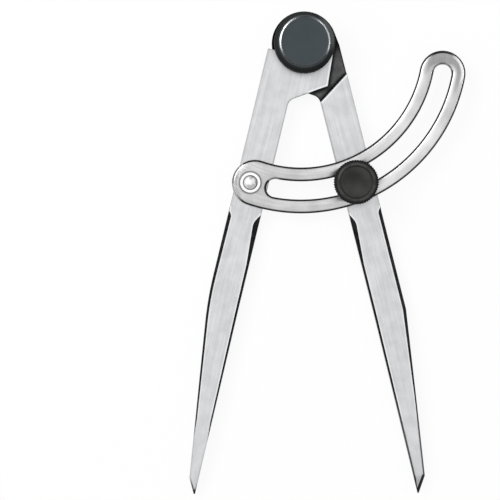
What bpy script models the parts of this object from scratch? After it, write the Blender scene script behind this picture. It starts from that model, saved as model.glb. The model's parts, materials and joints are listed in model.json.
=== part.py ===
"""A wing divider: two flat steel legs on a lapped head, and a slotted arc that a knob clamps.

It lies on its back on z = 0, front up, with +Y towards the head and +X to the right. The origin is on
the head's pivot axis, in the resting plane. Lengths are in metres and angles in radians.

Each leg is drawn in its own frame: u runs from the closing line to the leg's outer edge, and v from the
pivot towards the point.
"""

import math

import bmesh
import bpy
from mathutils import Vector

MM = 0.001

# Legs
LEG_LENGTH = 187.6 * MM
LEG_WIDTH = 13.07 * MM
LEG_THICK = 6.0 * MM
LEG_RELIEF = 0.5 * MM
REST_OPENING = math.radians(27.7)
REST_LEAN = math.radians(0.27)
LARGEST_OPENING = math.radians(81.7)
LEFT_BEND_FROM_PIVOT = 109.3 * MM
RIGHT_BEND_FROM_PIVOT = 114.0 * MM
LEFT_BEND_RADIUS = 140.0 * MM
RIGHT_BEND_RADIUS = 3.0 * MM
BEND_STEP = 3.5 * MM
POINT_LENGTH = 6.2 * MM
LEFT_POINT_WIDTH = 3.7 * MM
RIGHT_POINT_WIDTH = 4.5 * MM
POINT_LAND = 0.5 * MM
POINT_THICK = 3.4 * MM
THINNED_LENGTH = 32.0 * MM
EDGE_BREAK = 0.2 * MM

# Milled chamfers on the lower legs. The left leg's fade out before its point
LEFT_OUTER_FROM_PIVOT = 72.6 * MM
RIGHT_OUTER_FROM_PIVOT = 71.4 * MM
OUTER_CHAMFER = 1.45 * MM
OUTER_RISE = 2.4 * MM
LEFT_BEND_CHAMFER = 1.05 * MM
RIGHT_BEND_CHAMFER = 1.4 * MM
CHAMFER_END = 0.7 * MM
LEFT_FADE_FROM_POINT = 24.0 * MM
FADE_LENGTH = 8.0 * MM
POINT_CHAMFER = 1.3 * MM
SCOOP_FROM_PIVOT = 71.4 * MM
SCOOP_RISE = 4.8 * MM
SCOOP_LENGTH = 16.0 * MM
LEFT_SCOOP_DEPTH = 2.3 * MM
RIGHT_SCOOP_DEPTH = 1.95 * MM
LEFT_INNER_CHAMFER = 1.1 * MM
RIGHT_INNER_CHAMFER = 0.95 * MM

# Lapped head
FRONT_HEAD_UNDER_CAP = 0.2 * MM
REAR_HEAD_INSET = 0.6 * MM
HEAD_REACH_INSET = 0.4 * MM
HEAD_SLOPE = math.radians(33.4)
FRONT_HEAD_FOOT = 23.8 * MM
REAR_HEAD_FOOT = 22.5 * MM
HEAD_FILLET = 3.8 * MM
HEAD_CORNER_RADIUS = 0.5 * MM
SHOULDER_GAP = 1.3 * MM
SHOULDER_CHAMFER = 0.35 * MM
LEFT_TOP_SHOULDER = 5.4 * MM
RIGHT_TOP_TANGENT = 4.0 * MM

# Pivot stack, from the back to the front
PIVOT_DIAMETER = 8.0 * MM
PIVOT_HEAD_DIAMETER = 12.4 * MM
HEAD_WASHER_DIAMETER = 20.0 * MM
HEAD_WASHER_THICK = 1.0 * MM
DISC_SPRING_DIAMETER = 18.0 * MM
DISC_SPRING_THICK = 0.8 * MM
DISC_SPRING_CONE = 0.5 * MM
NUT_FLATS = 13.0 * MM
NUT_THICK = 4.0 * MM
CAP_DIAMETER = 24.5 * MM
CAP_WALL = 1.4 * MM
CAP_FLAT_DIAMETER = 20.2 * MM
CAP_SHOULDER_DROP = 1.9 * MM

# Slotted arc
ARC_RADIUS = 58.0 * MM
ARC_BAND = 18.5 * MM
ARC_THICK = 2.0 * MM
ARC_EDGE_ROUND = 0.45 * MM
SLOT_WIDTH = 7.3 * MM
SLOT_FROM_RIVET = 10.3 * MM
END_INSIDE_RIVET = 1.8 * MM
RIVET_OFF_MIDDLE = 0.8 * MM
RIVET_FROM_PIVOT = 59.75 * MM
RIVET_OUTSET = 0.5 * MM
ARC_TURN_RATIO = -0.045

# Rivet
RIVET_DIAMETER = 4.0 * MM
RIVET_DOME_DIAMETER = 5.6 * MM
RIVET_DOME_HEIGHT = 1.5 * MM
RIVET_TAIL_DIAMETER = 6.4 * MM
RIVET_WASHER_DIAMETER = 8.6 * MM
RIVET_WASHER_THICK = 0.8 * MM

# Clamp
SCREW_OFF_MIDDLE = -1.04 * MM
SCREW_FROM_PIVOT = 59.4 * MM
SCREW_OUTSET = 0.89 * MM
SCREW_DIAMETER = 5.0 * MM
SCREW_HEAD_DIAMETER = 9.4 * MM
DRIVE_SLOT_WIDTH = 1.2 * MM
DRIVE_SLOT_DEPTH = 1.0 * MM
CLAMP_WASHER_DIAMETER = 12.5 * MM
CLAMP_WASHER_THICK = 1.0 * MM
KNOB_DIAMETER = 17.8 * MM
KNOB_HEIGHT = 8.5 * MM
KNOB_FACE_DIAMETER = 15.1 * MM
KNOB_CHAMFER_DROP = 0.7 * MM
KNOB_BASE_DIAMETER = 14.0 * MM
KNOB_BASE_HEIGHT = 1.2 * MM
KNURLS = 54
KNURL_DEPTH = 0.3 * MM
INSERT_FLATS = 8.0 * MM
INSERT_LENGTH = 5.0 * MM
THREAD_END_ROOM = 1.2 * MM

# Clearances
CLOSED_GAP = 0.3 * MM
LAP_GAP = 0.2 * MM
SEAT_GAP = 0.2 * MM
RUNNING_GAP = 0.08 * MM
FIXED_GAP = 0.1 * MM
CUT_MARGIN = 1.0 * MM

# Facets
ROUND_STEPS = 48
CAP_STEPS = 72
ARC_STEP = math.radians(3.0)
CORNER_STEP = math.radians(15.0)
BREAK_ANGLE = math.radians(40.0)

# Heights
LAP_LEVEL = LEG_THICK / 2
ARC_BASE = LEG_THICK + SEAT_GAP
ARC_TOP = ARC_BASE + ARC_THICK
RIVET_WASHER_BASE = ARC_TOP + SEAT_GAP
RIVET_WASHER_TOP = RIVET_WASHER_BASE + RIVET_WASHER_THICK
CLAMP_WASHER_BASE = ARC_TOP + SEAT_GAP
KNOB_BASE = CLAMP_WASHER_BASE + CLAMP_WASHER_THICK + SEAT_GAP
HEAD_WASHER_BASE = LEG_THICK + SEAT_GAP
DISC_SPRING_HEIGHT = DISC_SPRING_THICK + DISC_SPRING_CONE
LOWER_SPRING_BASE = HEAD_WASHER_BASE + HEAD_WASHER_THICK + SEAT_GAP
UPPER_SPRING_BASE = LOWER_SPRING_BASE + DISC_SPRING_HEIGHT + SEAT_GAP
NUT_BASE = UPPER_SPRING_BASE + DISC_SPRING_HEIGHT + SEAT_GAP
NUT_TOP = NUT_BASE + NUT_THICK
CAP_TOP = NUT_TOP + SEAT_GAP + CAP_WALL

# Lines across a leg
TIP_EDGE = CLOSED_GAP / 2
INNER_EDGE = TIP_EDGE + LEG_RELIEF
OUTER_EDGE = INNER_EDGE + LEG_WIDTH
MIDDLE_LINE = INNER_EDGE + LEG_WIDTH / 2
RIVET_ACROSS_LEG = MIDDLE_LINE + RIVET_OFF_MIDDLE
SCREW_ACROSS_LEG = MIDDLE_LINE + SCREW_OFF_MIDDLE
POINT_FROM_PIVOT = LEG_LENGTH - POINT_LENGTH
THINNED_FROM_PIVOT = POINT_FROM_PIVOT - THINNED_LENGTH

# The head's radii and reach
FRONT_HEAD_RADIUS = CAP_DIAMETER / 2 - FRONT_HEAD_UNDER_CAP
REAR_HEAD_RADIUS = OUTER_EDGE - REAR_HEAD_INSET
HEAD_REACH = OUTER_EDGE - HEAD_REACH_INSET


def clear_scene():
    for thing in list(bpy.data.objects):
        bpy.data.objects.remove(thing, do_unlink=True)


def make_material(name, colour, roughness, metallic):
    material = bpy.data.materials.new(name)
    material.use_nodes = True
    shader = material.node_tree.nodes["Principled BSDF"]
    shader.inputs["Base Color"].default_value = (*colour, 1.0)
    shader.inputs["Roughness"].default_value = roughness
    shader.inputs["Metallic"].default_value = metallic
    material.diffuse_color = (*colour, 1.0)
    return material


def polar(centre, radius, angle):
    return Vector((centre[0] + radius * math.cos(angle), centre[1] + radius * math.sin(angle)))


def arc_points(centre, radius, start, end, step):
    """Points from start to end on a circle, with both ends."""
    count = max(1, math.ceil(abs(end - start) / step))
    return [polar(centre, radius, start + (end - start) * i / count) for i in range(count + 1)]


def rounded_corner(before, corner, after, radius):
    """The arc that rounds a corner between two straight edges."""
    back = (before - corner).normalized()
    ahead = (after - corner).normalized()
    half_angle = back.angle(ahead) / 2
    middle = corner + (back + ahead).normalized() * radius / math.sin(half_angle)
    first = corner + back * radius / math.tan(half_angle) - middle
    last = corner + ahead * radius / math.tan(half_angle) - middle
    start = math.atan2(first.y, first.x)
    turn = math.remainder(math.atan2(last.y, last.x) - start, math.tau)
    return arc_points(middle, radius, start, start + turn, CORNER_STEP)


def tangent_angle(point, radius, side):
    """Where a line from a point touches the circle round the origin, as an angle."""
    return math.atan2(point.y, point.x) + side * math.acos(radius / point.length)


def signed_area(outline):
    pairs = zip(outline, outline[1:] + outline[:1])
    return sum(a.x * b.y - b.x * a.y for a, b in pairs) / 2


def object_from(name, mesh_data, material, smooth=True):
    mesh = bpy.data.meshes.new(name)
    bmesh.ops.recalc_face_normals(mesh_data, faces=mesh_data.faces)
    mesh_data.to_mesh(mesh)
    mesh_data.free()
    if material:
        mesh.materials.append(material)
    made = bpy.data.objects.new(name, mesh)
    bpy.context.scene.collection.objects.link(made)
    if smooth:
        mesh.shade_smooth()
        mesh.set_sharp_from_angle(angle=BREAK_ANGLE)
    return made


def prism(name, outline, low, high, material=None):
    """A flat plate of the given outline between two heights."""
    points = outline if signed_area(outline) > 0 else outline[::-1]
    made = bmesh.new()
    base = made.faces.new([made.verts.new((p.x, p.y, low)) for p in points])
    raised = bmesh.ops.extrude_face_region(made, geom=[base])["geom"]
    moved = [item for item in raised if isinstance(item, bmesh.types.BMVert)]
    bmesh.ops.translate(made, vec=(0, 0, high - low), verts=moved)
    return object_from(name, made, material)


def loft(name, sections):
    """A closed body through rings of points that all have the same count."""
    made = bmesh.new()
    rings = [[made.verts.new(point) for point in section] for section in sections]
    for lower, upper in zip(rings, rings[1:]):
        for i, corner in enumerate(lower):
            j = (i + 1) % len(lower)
            made.faces.new((corner, lower[j], upper[j], upper[i]))
    made.faces.new(rings[0])
    made.faces.new(rings[-1][::-1])
    return object_from(name, made, None, smooth=False)


def turned(name, profile, material=None, steps=ROUND_STEPS, grooves=()):
    """A profile of (radius, height) points turned about the Z axis.

    A profile that starts and ends off the axis closes on itself, as a ring. The points whose numbers are
    in grooves dip by KNURL_DEPTH at every second step.
    """
    made = bmesh.new()
    rings = []
    for number, (radius, height) in enumerate(profile):
        if radius == 0:
            rings.append([made.verts.new((0, 0, height))] * steps)
            continue
        ring = []
        for i in range(steps):
            dip = KNURL_DEPTH if number in grooves and i % 2 else 0
            point = polar((0, 0), radius - dip, math.tau * i / steps)
            ring.append(made.verts.new((point.x, point.y, height)))
        rings.append(ring)
    if profile[0][0] > 0:
        rings.append(rings[0])
    for lower, upper in zip(rings, rings[1:]):
        for i in range(steps):
            j = (i + 1) % steps
            corners = dict.fromkeys((lower[i], lower[j], upper[j], upper[i]))
            made.faces.new(list(corners))
    return object_from(name, made, material)


def hexagon(flats):
    return [polar((0, 0), flats / math.sqrt(3), math.tau * i / 6) for i in range(6)]


def cylinder_cutter(name, radius, low, high):
    return turned(name, [(0, high), (radius, high), (radius, low), (0, low)])


def cone_cutter(name, shaft_radius, mouth_radius, through):
    """A shaft hole with a 90 degree countersink whose mouth is at the back, z = 0."""
    profile = [
        (0, through + CUT_MARGIN),
        (shaft_radius, through + CUT_MARGIN),
        (shaft_radius, mouth_radius - shaft_radius),
        (mouth_radius + CUT_MARGIN, -CUT_MARGIN),
        (0, -CUT_MARGIN),
    ]
    return turned(name, profile)


def cut(body, cutter, parent=None):
    """Takes the cutter's shape out of the body and keeps the cutter as a hidden guide."""
    cutter.parent = parent or body
    cutter.hide_render = True
    cutter.display_type = "WIRE"
    modifier = body.modifiers.new(cutter.name, "BOOLEAN")
    modifier.operation = "DIFFERENCE"
    modifier.solver = "EXACT"
    modifier.object = cutter


def break_edges(body, width, segments=1):
    modifier = body.modifiers.new("edge_break", "BEVEL")
    modifier.width = width
    modifier.segments = segments
    modifier.limit_method = "ANGLE"
    modifier.angle_limit = BREAK_ANGLE


def head_edge(foot, u, offset=0.0):
    """Height v of a slanted head edge at u, measured on the side that it reaches over to."""
    return foot + offset / math.cos(HEAD_SLOPE) - (u + INNER_EDGE) * math.tan(HEAD_SLOPE)


def between(v, places):
    """The value at v on straight lines through (v, value) places, carried on past the last."""
    for (start, low), (end, high) in zip(places, places[1:]):
        if v <= end:
            break
    return low + (high - low) * (v - start) / (end - start)


def by_side(side, left, right):
    return left if side < 0 else right


def bend_place(side):
    return by_side(side, LEFT_BEND_FROM_PIVOT, RIGHT_BEND_FROM_PIVOT)


def leg_turn(side):
    """A leg's turn about the pivot at rest."""
    return side * REST_OPENING / 2 + REST_LEAN


def inner_edge(v, side):
    """Place u of a leg's inner edge at v. It stands back as far as the bend, so the tips meet first."""
    places = ((0.0, INNER_EDGE), (bend_place(side), INNER_EDGE), (LEG_LENGTH, TIP_EDGE))
    return between(v, places)


def point_outside(side):
    """The corner on a leg's outer edge at which its point begins."""
    width = by_side(side, LEFT_POINT_WIDTH, RIGHT_POINT_WIDTH)
    return Vector((inner_edge(POINT_FROM_PIVOT, side) + width, POINT_FROM_PIVOT))


def bend_radius(side):
    return by_side(side, LEFT_BEND_RADIUS, RIGHT_BEND_RADIUS)


def bend_steps(side):
    """Places v along the rounded bend of a leg's outer edge."""
    ahead = point_outside(side) - Vector((OUTER_EDGE, bend_place(side)))
    turn = math.atan2(-ahead.x, ahead.y)
    start = bend_place(side) - bend_radius(side) * math.tan(turn / 2)
    length = bend_radius(side) * math.sin(turn)
    count = math.ceil(length / BEND_STEP)
    return [start + length * i / count for i in range(count + 1)]


def outer_edge(v, side):
    """Place u of a leg's outer edge at v."""
    start, *_, end = bend_steps(side)
    if start < v <= end:
        radius = bend_radius(side)
        return OUTER_EDGE - radius + math.sqrt(radius**2 - (v - start) ** 2)
    places = (
        (0.0, OUTER_EDGE),
        (bend_place(side), OUTER_EDGE),
        (POINT_FROM_PIVOT, point_outside(side).x),
        (LEG_LENGTH, TIP_EDGE + POINT_LAND),
    )
    return between(v, places)


def half_thickness(v):
    """Half the leg's thickness at v, before and along its thinned stretch and its point."""
    places = (
        (0.0, LEG_THICK / 2),
        (THINNED_FROM_PIVOT, LEG_THICK / 2),
        (POINT_FROM_PIVOT, POINT_THICK / 2),
        (LEG_LENGTH, POINT_LAND / 2),
    )
    return between(v, places)


def leg_outline(side, head_radius, foot, top):
    """A leg's outline in its (u, v) frame, from the top of the outer edge down and back over the head.

    top is where the outer edge ends and the angle at which the head's circle then begins.
    """
    top_point, circle_end = top
    corner = Vector((-HEAD_REACH, head_edge(foot, HEAD_REACH)))
    circle_start = tangent_angle(corner, head_radius, 1)
    inner_bend = Vector((INNER_EDGE, bend_place(side)))
    foot_point = Vector((INNER_EDGE, foot))
    outline = [top_point]
    outline += [Vector((outer_edge(v, side), v)) for v in bend_steps(side)]
    outline += [point_outside(side), Vector((TIP_EDGE + POINT_LAND, LEG_LENGTH))]
    outline += [Vector((TIP_EDGE, LEG_LENGTH)), inner_bend]
    outline += rounded_corner(inner_bend, foot_point, corner, HEAD_FILLET)
    outline += rounded_corner(
        foot_point, corner, polar((0, 0), head_radius, circle_start), HEAD_CORNER_RADIUS
    )
    outline += arc_points((0, 0), head_radius, circle_start, circle_end + math.tau, ARC_STEP * 2)
    return outline


def square_top():
    """The left leg's outer edge ends in a small square shoulder beside the cap."""
    return (
        Vector((OUTER_EDGE, LEFT_TOP_SHOULDER)),
        math.asin(LEFT_TOP_SHOULDER / FRONT_HEAD_RADIUS),
    )


def tangent_top():
    """The right leg's outer edge runs into its head's circle."""
    point = Vector((OUTER_EDGE, RIGHT_TOP_TANGENT))
    return point, tangent_angle(point, REAR_HEAD_RADIUS, -1)


def to_leg(points, side):
    return [Vector((side * p.x, -p.y)) for p in points]


def shoulder_line(u):
    """Height v of a leg's slanted shoulder at u, clear of both legs' heads and fillets."""
    return head_edge(max(FRONT_HEAD_FOOT, REAR_HEAD_FOOT), u, SHOULDER_GAP)


def half_removed(name, side, low, high):
    """The block that halves a leg's head: all that lies beyond the slanted shoulder."""
    reach = LEG_WIDTH * 2
    corners = [Vector((u, shoulder_line(u))) for u in (-reach, reach)]
    corners += [Vector((reach, -reach)), Vector((-reach, -reach))]
    return prism(name, to_leg(corners, side), low, high)


def chamfer_section(edge, outward, width, face, up):
    """A 45 degree cut that leaves the given width on the face, as a triangle of points."""
    places = ((-width - CUT_MARGIN, CUT_MARGIN), (CUT_MARGIN, -width - CUT_MARGIN), (CUT_MARGIN,) * 2)
    section = []
    for across, height in places:
        place = edge + outward * across
        section.append((place.x, place.y, face + up * height))
    return section


def shoulder_chamfer(name):
    """The bright chamfer on the top of the right leg's slanted shoulder."""
    ends = to_leg([Vector((u, shoulder_line(u))) for u in (-LEG_WIDTH, LEG_WIDTH * 2)], 1)
    away = to_leg([Vector((-math.sin(HEAD_SLOPE), -math.cos(HEAD_SLOPE)))], 1)[0]
    sections = [chamfer_section(end, away, SHOULDER_CHAMFER, LEG_THICK, 1) for end in ends]
    return loft(name, sections)


def left_chamfer_end():
    """(v, width) places where a chamfer of the left leg fades out."""
    fade = POINT_FROM_PIVOT - LEFT_FADE_FROM_POINT
    return [(fade, CHAMFER_END), (fade + FADE_LENGTH, 0.0)]


def right_chamfer_end():
    """(v, width) places where a chamfer of the right leg runs out over its tip."""
    return [(LEG_LENGTH, POINT_LAND / 5), (LEG_LENGTH + CUT_MARGIN, 0.0)]


def rising(start, length, width):
    """(v, width) places along the rounded start of a chamfer."""
    return [
        (start + length * step, width * math.sin(math.pi / 2 * step))
        for step in (0, 1 / 3, 2 / 3, 1)
    ]


def outer_chamfer_widths(side):
    """(v, width) places down a leg's outer edge. The right leg's chamfer widens on its point."""
    start = by_side(side, LEFT_OUTER_FROM_PIVOT, RIGHT_OUTER_FROM_PIVOT)
    places = rising(start, OUTER_RISE, OUTER_CHAMFER)
    places.append((bend_place(side), by_side(side, LEFT_BEND_CHAMFER, RIGHT_BEND_CHAMFER)))
    if side < 0:
        return places + left_chamfer_end()
    places.append((THINNED_FROM_PIVOT, CHAMFER_END))
    places.append((POINT_FROM_PIVOT - POINT_CHAMFER, CHAMFER_END))
    places.append((POINT_FROM_PIVOT, POINT_CHAMFER))
    return places + right_chamfer_end()


def inner_chamfer_widths(side):
    """(v, width) places down a leg's inner edge, from a deeper scoop that a round cutter leaves."""
    depth = by_side(side, LEFT_SCOOP_DEPTH, RIGHT_SCOOP_DEPTH)
    places = rising(SCOOP_FROM_PIVOT, SCOOP_RISE, depth)
    scoop_end = SCOOP_FROM_PIVOT + SCOOP_RISE + SCOOP_LENGTH
    places.append((scoop_end, by_side(side, LEFT_INNER_CHAMFER, RIGHT_INNER_CHAMFER)))
    if side < 0:
        return places + left_chamfer_end()
    places.append((POINT_FROM_PIVOT, CHAMFER_END))
    return places + right_chamfer_end()


def mill_edge(leg, name, side, widths, edge, bends, away):
    """Takes one long chamfer off an edge, at the front and at the back.

    Besides the given (v, width) places it has one where the leg begins to thin and one at each v in bends.
    """
    places = dict(widths)
    for v in (*bends, THINNED_FROM_PIVOT):
        if widths[0][0] < v < widths[-1][0]:
            places.setdefault(v, between(v, widths))
    for face_name, up in (("front", 1), ("back", -1)):
        sections = []
        for v, width in sorted(places.items()):
            face = LEG_THICK / 2 + up * half_thickness(v)
            place = Vector((side * edge(v, side), -v))
            sections.append(chamfer_section(place, away, width, face, up))
        cut(leg, loft(f"{leg.name}_{name}_{face_name}_chamfer", sections))


def mill_chamfers(leg, side):
    outward = Vector((side, 0))
    mill_edge(leg, "outer", side, outer_chamfer_widths(side), outer_edge, bend_steps(side), outward)
    mill_edge(leg, "inner", side, inner_chamfer_widths(side), inner_edge, [bend_place(side)], -outward)


def thin_the_point(leg):
    """Tapers the leg's thickness towards its point, alike at the front and the back."""
    for name, up in (("front", 1), ("back", -1)):
        clear = LEG_THICK / 2 + up * (LEG_THICK / 2 + CUT_MARGIN)
        slope = (LEG_THICK - POINT_THICK) / 2 / THINNED_LENGTH
        profile = [(THINNED_FROM_PIVOT - CUT_MARGIN / slope, clear)]
        for v in (POINT_FROM_PIVOT, LEG_LENGTH):
            profile.append((v, LEG_THICK / 2 + up * half_thickness(v)))
        end = LEG_LENGTH + CUT_MARGIN
        profile += [(end, profile[-1][1]), (end, clear)]
        sections = [[(x, -v, z) for v, z in profile] for x in (-LEG_WIDTH * 2, LEG_WIDTH * 2)]
        cut(leg, loft(f"{leg.name}_{name}_taper", sections))


def bore(leg, name, place, shaft_diameter, mouth_diameter, through):
    cutter = cone_cutter(
        name, shaft_diameter / 2 + FIXED_GAP, mouth_diameter / 2 + FIXED_GAP, through
    )
    cutter.location = (*place, 0)
    cut(leg, cutter)


def make_leg(name, side, outline, material):
    leg = prism(name, to_leg(outline, side), 0.0, LEG_THICK, material)
    leg.rotation_euler.z = leg_turn(side)
    break_edges(leg, EDGE_BREAK)
    mill_chamfers(leg, side)
    thin_the_point(leg)
    return leg


def make_left_leg(material):
    outline = leg_outline(-1, FRONT_HEAD_RADIUS, FRONT_HEAD_FOOT, square_top())
    leg = make_leg("left_leg", -1, outline, material)
    lap = LAP_LEVEL + LAP_GAP / 2
    cut(leg, half_removed("left_leg_lap", -1, -CUT_MARGIN, lap))
    hole = PIVOT_DIAMETER / 2 + RUNNING_GAP
    cut(leg, cylinder_cutter("left_leg_pivot_hole", hole, -CUT_MARGIN, LEG_THICK + CUT_MARGIN))
    rivet = to_leg([Vector((RIVET_ACROSS_LEG, RIVET_FROM_PIVOT))], -1)[0]
    bore(leg, "left_leg_rivet_hole", rivet, RIVET_DIAMETER, RIVET_TAIL_DIAMETER, LEG_THICK)
    return leg


def make_right_leg(material):
    outline = leg_outline(1, REAR_HEAD_RADIUS, REAR_HEAD_FOOT, tangent_top())
    leg = make_leg("right_leg", 1, outline, material)
    lap = LAP_LEVEL - LAP_GAP / 2
    cut(leg, half_removed("right_leg_lap", 1, lap, LEG_THICK + CUT_MARGIN))
    cut(leg, shoulder_chamfer("right_leg_shoulder_chamfer"))
    bore(leg, "right_leg_pivot_hole", (0, 0), PIVOT_DIAMETER, PIVOT_HEAD_DIAMETER, LEG_THICK)
    screw = to_leg([Vector((SCREW_ACROSS_LEG, SCREW_FROM_PIVOT))], 1)[0]
    bore(leg, "right_leg_screw_hole", screw, SCREW_DIAMETER, SCREW_HEAD_DIAMETER, LEG_THICK)
    return leg


def place_on_leg(across, along, side):
    """World place, at rest, of a point given across and along a leg."""
    turn = leg_turn(side)
    x, y = side * across, -along
    return Vector((
        x * math.cos(turn) - y * math.sin(turn),
        x * math.sin(turn) + y * math.cos(turn),
    ))


def rivet_place():
    return place_on_leg(RIVET_ACROSS_LEG, RIVET_FROM_PIVOT, -1)


def screw_place():
    return place_on_leg(SCREW_ACROSS_LEG, SCREW_FROM_PIVOT, 1)


def arc_centre():
    """The centre of the slotted arc, at its own distances from the rivet and from the clamp screw."""
    rivet, screw = rivet_place(), screw_place()
    to_rivet, to_screw = ARC_RADIUS + RIVET_OUTSET, ARC_RADIUS + SCREW_OUTSET
    span = screw - rivet
    along = (to_rivet**2 - to_screw**2 + span.length_squared) / (2 * span.length)
    height = math.sqrt(to_rivet**2 - along**2)
    ahead = span.normalized()
    return rivet + ahead * along + Vector((-ahead.y, ahead.x)) * height


def turned_about(point, centre, angle):
    offset = point - centre
    return centre + Vector((
        offset.x * math.cos(angle) - offset.y * math.sin(angle),
        offset.x * math.sin(angle) + offset.y * math.cos(angle),
    ))


def slot_end_angle():
    """Direction from the arc's centre of the clamp screw at the largest opening."""
    opened = LARGEST_OPENING - REST_OPENING
    screw = turned_about(screw_place(), Vector((0, 0)), opened)
    seen = turned_about(screw, rivet_place(), -ARC_TURN_RATIO * opened)
    to_screw = seen - arc_centre()
    play = (SLOT_WIDTH - SCREW_DIAMETER) / 2
    return math.atan2(to_screw.y, to_screw.x) + (play - SEAT_GAP * 2) / ARC_RADIUS


def band_outline(centre, radius, width, start, end):
    """A curved band with round ends, between two directions from its centre."""
    half = width / 2
    outline = arc_points(centre, radius + half, start, end, ARC_STEP)
    outline += arc_points(
        polar(centre, radius, end), half, end, end + math.pi, CORNER_STEP
    )[1:-1]
    outline += arc_points(centre, radius - half, end, start, ARC_STEP)
    outline += arc_points(
        polar(centre, radius, start), half, start + math.pi, start + math.tau, CORNER_STEP
    )[1:-1]
    return outline


def make_quadrant(material):
    """The slotted arc. Its origin is on the rivet, about which it turns."""
    rivet = rivet_place()
    centre = arc_centre() - rivet
    rivet_angle = math.atan2(-centre.y, -centre.x)
    band_start = rivet_angle + END_INSIDE_RIVET / ARC_RADIUS
    slot_start = rivet_angle + SLOT_FROM_RIVET / ARC_RADIUS
    slot_end = slot_end_angle()
    outline = band_outline(centre, ARC_RADIUS, ARC_BAND, band_start, slot_end)
    slot = band_outline(centre, ARC_RADIUS, SLOT_WIDTH, slot_start, slot_end)
    quadrant = prism("quadrant", outline, ARC_BASE, ARC_TOP, material)
    quadrant.location = (*rivet, 0)
    low, high = ARC_BASE - CUT_MARGIN, ARC_TOP + CUT_MARGIN
    cut(quadrant, prism("quadrant_slot", slot, low, high))
    cut(quadrant, cylinder_cutter("quadrant_rivet_hole", RIVET_DIAMETER / 2 + RUNNING_GAP, low, high))
    break_edges(quadrant, ARC_EDGE_ROUND, segments=2)
    return quadrant


def countersunk_profile(shaft_radius, head_radius, top):
    return [
        (0, top),
        (shaft_radius - EDGE_BREAK, top),
        (shaft_radius, top - EDGE_BREAK),
        (shaft_radius, head_radius - shaft_radius),
        (head_radius, 0),
        (0, 0),
    ]


def washer_profile(hole, outside, low, thick, edge=0.0):
    """A flat ring, with its outer top and bottom edges broken where edge is given."""
    if not edge:
        return [(hole, low + thick), (outside, low + thick), (outside, low), (hole, low)]
    return [
        (hole, low + thick),
        (outside - edge, low + thick),
        (outside, low + thick - edge),
        (outside, low + edge),
        (outside - edge, low),
        (hole, low),
    ]


def make_pivot_screw(leg, material):
    profile = countersunk_profile(PIVOT_DIAMETER / 2, PIVOT_HEAD_DIAMETER / 2, NUT_TOP)
    screw = turned("pivot_screw", profile, material)
    screw.parent = leg
    return screw


def make_head_washer(leg, material):
    hole = PIVOT_DIAMETER / 2 + FIXED_GAP
    profile = washer_profile(
        hole, HEAD_WASHER_DIAMETER / 2, HEAD_WASHER_BASE, HEAD_WASHER_THICK, EDGE_BREAK
    )
    washer = turned("head_washer", profile, material)
    washer.parent = leg
    return washer


def make_disc_spring(name, base, opens_down, leg, material):
    """A coned spring washer, 4 faces in section."""
    hole, outside = PIVOT_DIAMETER / 2 + FIXED_GAP, DISC_SPRING_DIAMETER / 2
    rise_in, rise_out = (DISC_SPRING_CONE, 0.0) if opens_down else (0.0, DISC_SPRING_CONE)
    profile = [
        (hole, base + rise_in + DISC_SPRING_THICK),
        (outside, base + rise_out + DISC_SPRING_THICK),
        (outside, base + rise_out),
        (hole, base + rise_in),
    ]
    spring = turned(name, profile, material)
    spring.parent = leg
    return spring


def make_pivot_nut(leg, material):
    nut = prism("pivot_nut", hexagon(NUT_FLATS), NUT_BASE, NUT_TOP, material)
    nut.parent = leg
    break_edges(nut, EDGE_BREAK)
    hole = PIVOT_DIAMETER / 2 + FIXED_GAP
    cut(nut, cylinder_cutter("pivot_nut_hole", hole, NUT_BASE - CUT_MARGIN, NUT_TOP + CUT_MARGIN))
    return nut


def make_head_cap(leg, material):
    """The cap is a cup over the washers, with a thick crown whose hexagon socket grips the nut."""
    outside = CAP_DIAMETER / 2
    flat = CAP_FLAT_DIAMETER / 2
    inside = outside - CAP_WALL
    base = HEAD_WASHER_BASE
    ceiling = NUT_BASE
    rim_top = CAP_TOP - CAP_SHOULDER_DROP
    profile = [
        (0, CAP_TOP),
        (flat - EDGE_BREAK, CAP_TOP),
        (flat, CAP_TOP - EDGE_BREAK),
        (flat + EDGE_BREAK, CAP_TOP - 2 * EDGE_BREAK),
        (outside - 3 * EDGE_BREAK, rim_top),
        (outside - EDGE_BREAK, rim_top - 2 * EDGE_BREAK),
        (outside, rim_top - 5 * EDGE_BREAK),
        (outside, base + EDGE_BREAK),
        (outside - EDGE_BREAK, base),
        (inside, base),
        (inside, ceiling),
        (0, ceiling),
    ]
    cap = turned("head_cap", profile, material, steps=CAP_STEPS)
    cap.parent = leg
    socket = prism(
        "head_cap_socket", hexagon(NUT_FLATS + 2 * FIXED_GAP), ceiling - CUT_MARGIN, NUT_TOP + SEAT_GAP
    )
    cut(cap, socket)
    return cap


def make_rivet(leg, material):
    shank, dome = RIVET_DIAMETER / 2, RIVET_DOME_DIAMETER / 2
    tail = RIVET_TAIL_DIAMETER / 2
    base = RIVET_WASHER_TOP + SEAT_GAP
    ball = (dome**2 + RIVET_DOME_HEIGHT**2) / (2 * RIVET_DOME_HEIGHT)
    ball_height = base + RIVET_DOME_HEIGHT - ball
    rim = math.atan2(base - ball_height, dome)
    crown = [
        (math.cos(angle) * ball, ball_height + math.sin(angle) * ball)
        for angle in (rim + (math.pi / 2 - rim) * i / 6 for i in range(5, -1, -1))
    ]
    profile = [(0, base + RIVET_DOME_HEIGHT)] + crown
    profile += [(shank, base), (shank, tail - shank), (tail, 0), (0, 0)]
    rivet = turned("quadrant_rivet", profile, material)
    rivet.location = (*to_leg([Vector((RIVET_ACROSS_LEG, RIVET_FROM_PIVOT))], -1)[0], 0)
    rivet.parent = leg
    return rivet


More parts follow.
